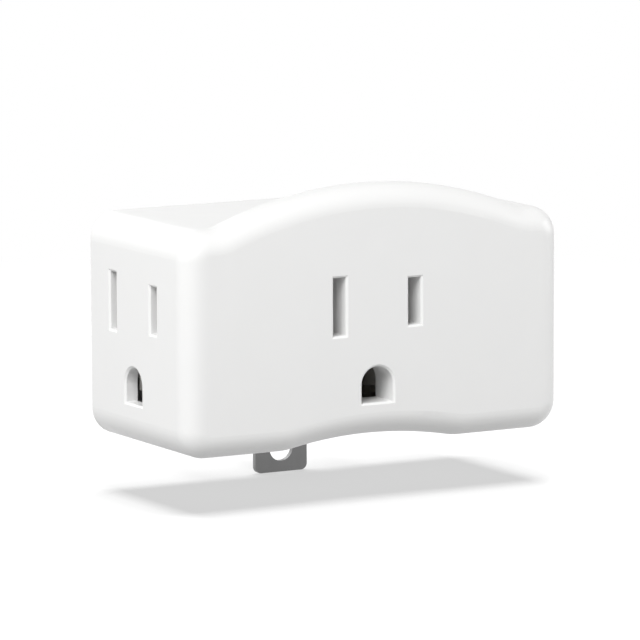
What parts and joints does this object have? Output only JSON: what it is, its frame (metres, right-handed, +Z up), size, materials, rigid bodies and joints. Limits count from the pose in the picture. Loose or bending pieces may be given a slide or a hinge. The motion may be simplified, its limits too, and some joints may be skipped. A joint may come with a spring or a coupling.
{
  "type": "grounding plug adapter",
  "caption": "Squat box-shaped wall plug adapter with an arched brow, grounded outlets on its front and sides, plug blades behind and a screw tab below for the ground.",
  "frame": {"origin": "midway between the two plug blades, on the plane of the back that meets the wall plate", "axes": "+X to the right seen from the front, +Y towards the wall along the blades, +Z up"},
  "size_m": [0.0636, 0.047, 0.047],
  "materials": {
    "white_plastic": "white moulded plastic, satin gloss",
    "tab_steel": "plated sheet steel, dull grey",
    "blade_metal": "nickel-plated brass, satin",
    "contact_brass": "bare rolled brass",
    "clip_metal": "tin-plated spring brass, dull",
    "screw_steel": "zinc-plated steel"
  },
  "bodies": {
    "root": {"housing": "white_plastic", "back_cover": "white_plastic", "neutral_blade": "blade_metal", "hot_blade": "blade_metal", "ground_tab": "tab_steel", "neutral_bus": "contact_brass", "hot_bus": "contact_brass", "ground_bus": "contact_brass", "front_neutral_clip": "clip_metal", "front_hot_clip": "clip_metal", "front_ground_clip": "clip_metal", "left_neutral_clip": "clip_metal", "left_hot_clip": "clip_metal", "left_ground_clip": "clip_metal", "right_neutral_clip": "clip_metal", "right_hot_clip": "clip_metal", "right_ground_clip": "clip_metal", "blade_rivets": "contact_brass", "tab_rivet": "contact_brass", "cover_screws": "screw_steel"}
  },
  "joints": []
}
